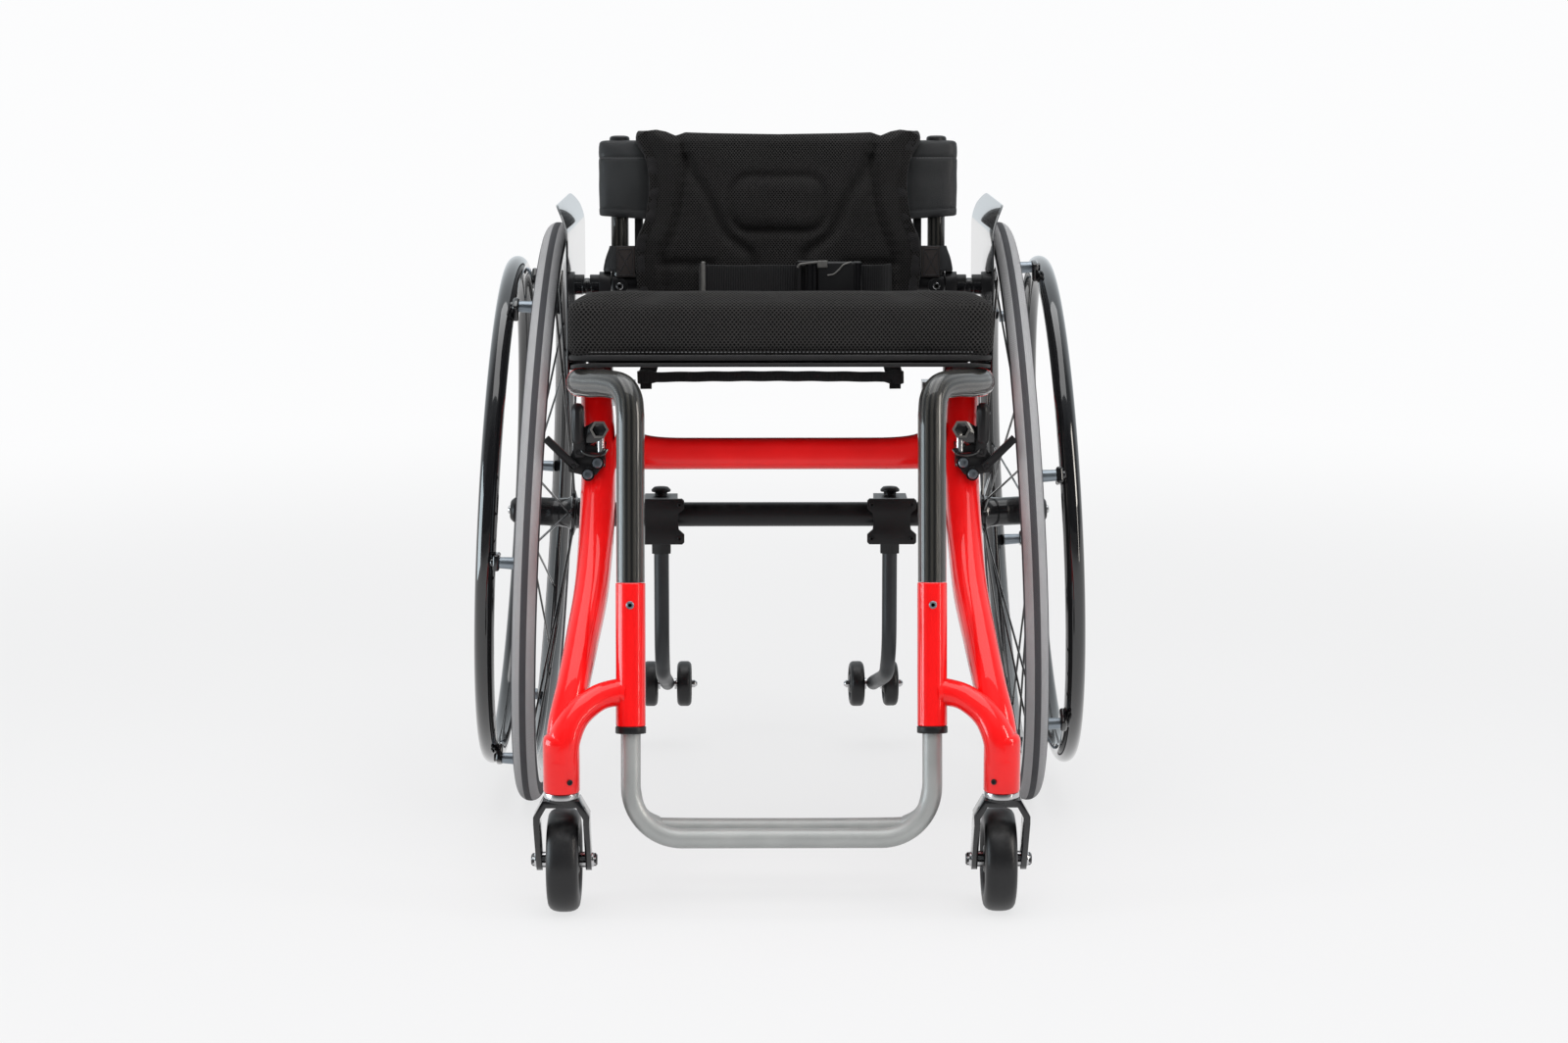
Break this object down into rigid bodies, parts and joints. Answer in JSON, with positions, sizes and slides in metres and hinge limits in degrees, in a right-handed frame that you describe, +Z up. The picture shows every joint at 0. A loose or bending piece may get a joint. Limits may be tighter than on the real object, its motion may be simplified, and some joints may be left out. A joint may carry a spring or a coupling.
{
  "type": "sports wheelchair",
  "caption": "Rigid active wheelchair with cambered wheels, swivel casters, folding back, sliding footrest, wheel locks and swing-away anti-tip wheels.",
  "frame": {"origin": "on the floor, under the middle of the chair's bounding box", "axes": "+Z up, the chair faces -Y, +X to the occupant's left"},
  "size_m": [0.6058, 0.7845, 0.6887],
  "materials": {
    "red_lacquer": "gloss red lacquer",
    "clear_coated_carbon": "carbon fibre under a gloss clear coat",
    "black_anodised": "satin black",
    "gloss_black": "gloss black",
    "satin_grey_tube": "satin grey",
    "bright_steel": "polished",
    "grey_tyre": "matt grey rubber",
    "black_urethane": "satin",
    "black_plastic": "satin",
    "spacer_mesh": "knitted spacer mesh",
    "black_leatherette": "grained",
    "black_webbing": "woven"
  },
  "bodies": {
    "frame": {"side_frame_left": "red_lacquer", "side_frame_right": "red_lacquer", "carbon_tube_left": "clear_coated_carbon", "carbon_tube_right": "clear_coated_carbon", "cross_brace": "red_lacquer", "axle_tube": "black_anodised", "axle_bracket_left": "bright_steel", "axle_bracket_right": "bright_steel", "leg_collar_left": "black_anodised", "leg_collar_right": "black_anodised", "seat_sling": "black_webbing", "seat_cushion": "spacer_mesh", "side_guard_left": "gloss_black", "side_guard_right": "gloss_black", "back_bracket_left": "black_anodised", "back_bracket_right": "black_anodised", "anti_tip_clamp_left": "black_anodised", "anti_tip_clamp_right": "black_anodised", "brake_clamp_left": "black_anodised", "brake_clamp_right": "black_anodised", "belt_webbing": "black_webbing", "belt_buckle": "black_plastic", "axle_pin_left": "bright_steel", "axle_pin_right": "bright_steel"},
    "backrest": {"back_post_left": "clear_coated_carbon", "back_post_right": "clear_coated_carbon", "back_cuff_left": "black_leatherette", "back_cuff_right": "black_leatherette", "post_strap_left": "black_leatherette", "post_strap_right": "black_leatherette", "back_pad": "spacer_mesh", "back_hem": "black_webbing"},
    "footrest": {"footrest_frame": "satin_grey_tube"},
    "rear_wheel_left": {"tyre_left": "grey_tyre", "rim_left": "black_anodised", "hub_left": "gloss_black", "pushrim_left": "gloss_black"},
    "release_button_left": {"release_button_left": "bright_steel"},
    "caster_fork_left": {"caster_fork_left": "black_anodised"},
    "caster_wheel_left": {"caster_tyre_left": "black_urethane", "caster_hub_left": "black_plastic"},
    "rear_wheel_right": {"tyre_right": "grey_tyre", "rim_right": "black_anodised", "hub_right": "gloss_black", "pushrim_right": "gloss_black"},
    "release_button_right": {"release_button_right": "bright_steel"},
    "caster_fork_right": {"caster_fork_right": "black_anodised"},
    "caster_wheel_right": {"caster_tyre_right": "black_urethane", "caster_hub_right": "black_plastic"},
    "brake_handle_left": {"brake_handle_left": "black_anodised"},
    "brake_shoe_left": {"brake_shoe_left": "black_anodised"},
    "anti_tip_arm_left": {"anti_tip_tube_left": "satin_grey_tube"},
    "anti_tip_wheel_inner_left": {"anti_tip_wheel_inner_left": "black_urethane"},
    "anti_tip_wheel_outer_left": {"anti_tip_wheel_outer_left": "black_urethane"},
    "brake_handle_right": {"brake_handle_right": "black_anodised"},
    "brake_shoe_right": {"brake_shoe_right": "black_anodised"},
    "anti_tip_arm_right": {"anti_tip_tube_right": "satin_grey_tube"},
    "anti_tip_wheel_inner_right": {"anti_tip_wheel_inner_right": "black_urethane"},
    "anti_tip_wheel_outer_right": {"anti_tip_wheel_outer_right": "black_urethane"}
  },
  "joints": [
    {"name": "rear_wheel_spin_left", "type": "hinge", "parent": "frame", "child": "rear_wheel_left", "pos_m": [0.2395, 0.0948, 0.29709], "axis": [0.9986, 0, 0.0523], "continuous": true},
    {"name": "release_button_press_left", "type": "slide", "parent": "frame", "child": "release_button_left", "axis": [-0.9986, 0, -0.0523], "range_m": [0, 0.003], "stiffness_N_per_m": 200},
    {"name": "caster_swivel_left", "type": "hinge", "parent": "frame", "child": "caster_fork_left", "pos_m": [0.1967, -0.3732, 0.1115], "axis": [0, 0, 1], "continuous": true},
    {"name": "caster_spin_left", "type": "hinge", "parent": "caster_fork_left", "child": "caster_wheel_left", "pos_m": [0.1967, -0.3452, 0.047], "axis": [1, 0, 0], "continuous": true},
    {"name": "rear_wheel_spin_right", "type": "hinge", "parent": "frame", "child": "rear_wheel_right", "pos_m": [-0.2395, 0.0948, 0.29709], "axis": [-0.9986, 0, 0.0523], "continuous": true},
    {"name": "release_button_press_right", "type": "slide", "parent": "frame", "child": "release_button_right", "axis": [0.9986, 0, -0.0523], "range_m": [0, 0.003], "stiffness_N_per_m": 200},
    {"name": "caster_swivel_right", "type": "hinge", "parent": "frame", "child": "caster_fork_right", "pos_m": [-0.1967, -0.3732, 0.1115], "axis": [0, 0, 1], "continuous": true},
    {"name": "caster_spin_right", "type": "hinge", "parent": "caster_fork_right", "child": "caster_wheel_right", "pos_m": [-0.1967, -0.3452, 0.047], "axis": [1, 0, 0], "continuous": true},
    {"name": "backrest_fold", "type": "hinge", "parent": "frame", "child": "backrest", "pos_m": [0, 0.1748, 0.527], "axis": [1, 0, 0], "range_deg": [0, 42], "deforming": ["belt_webbing"]},
    {"name": "footrest_height", "type": "slide", "parent": "frame", "child": "footrest", "axis": [0, 0.1564, 0.9877], "range_m": [0, 0.02]},
    {"name": "brake_handle_turn_left", "type": "hinge", "parent": "frame", "child": "brake_handle_left", "pos_m": [0.188, -0.1875, 0.3985], "axis": [0, 1, 0], "range_deg": [0, 60]},
    {"name": "brake_shoe_turn_left", "type": "hinge", "parent": "frame", "child": "brake_shoe_left", "pos_m": [0.1935, -0.1875, 0.385], "axis": [0, 1, 0], "range_deg": [0, 33]},
    {"name": "anti_tip_swivel_left", "type": "hinge", "parent": "frame", "child": "anti_tip_arm_left", "pos_m": [0.1162, 0.1278, 0.25], "axis": [0, 0, 1], "range_deg": [0, 180]},
    {"name": "anti_tip_spin_inner_left", "type": "hinge", "parent": "anti_tip_arm_left", "child": "anti_tip_wheel_inner_left", "pos_m": [0.08779, 0.31157, 0.069], "axis": [0.9986, 0.0523, 0], "continuous": true},
    {"name": "anti_tip_spin_outer_left", "type": "hinge", "parent": "anti_tip_arm_left", "child": "anti_tip_wheel_outer_left", "pos_m": [0.12524, 0.31353, 0.069], "axis": [0.9986, 0.0523, 0], "continuous": true},
    {"name": "brake_handle_turn_right", "type": "hinge", "parent": "frame", "child": "brake_handle_right", "pos_m": [-0.188, -0.1875, 0.3985], "axis": [0, -1, 0], "range_deg": [0, 60]},
    {"name": "brake_shoe_turn_right", "type": "hinge", "parent": "frame", "child": "brake_shoe_right", "pos_m": [-0.1935, -0.1875, 0.385], "axis": [0, -1, 0], "range_deg": [0, 33]},
    {"name": "anti_tip_swivel_right", "type": "hinge", "parent": "frame", "child": "anti_tip_arm_right", "pos_m": [-0.1222, 0.1278, 0.25], "axis": [0, 0, 1], "range_deg": [-180, 0]},
    {"name": "anti_tip_spin_inner_right", "type": "hinge", "parent": "anti_tip_arm_right", "child": "anti_tip_wheel_inner_right", "pos_m": [-0.10345, 0.3128, 0.069], "axis": [1, 0, 0], "continuous": true},
    {"name": "anti_tip_spin_outer_right", "type": "hinge", "parent": "anti_tip_arm_right", "child": "anti_tip_wheel_outer_right", "pos_m": [-0.14095, 0.3128, 0.069], "axis": [1, 0, 0], "continuous": true}
  ],
  "couplings": [
    {"joint": "brake_shoe_turn_left", "follows": "brake_handle_turn_left", "ratio": 0.55},
    {"joint": "brake_shoe_turn_right", "follows": "brake_handle_turn_right", "ratio": 0.55}
  ]
}
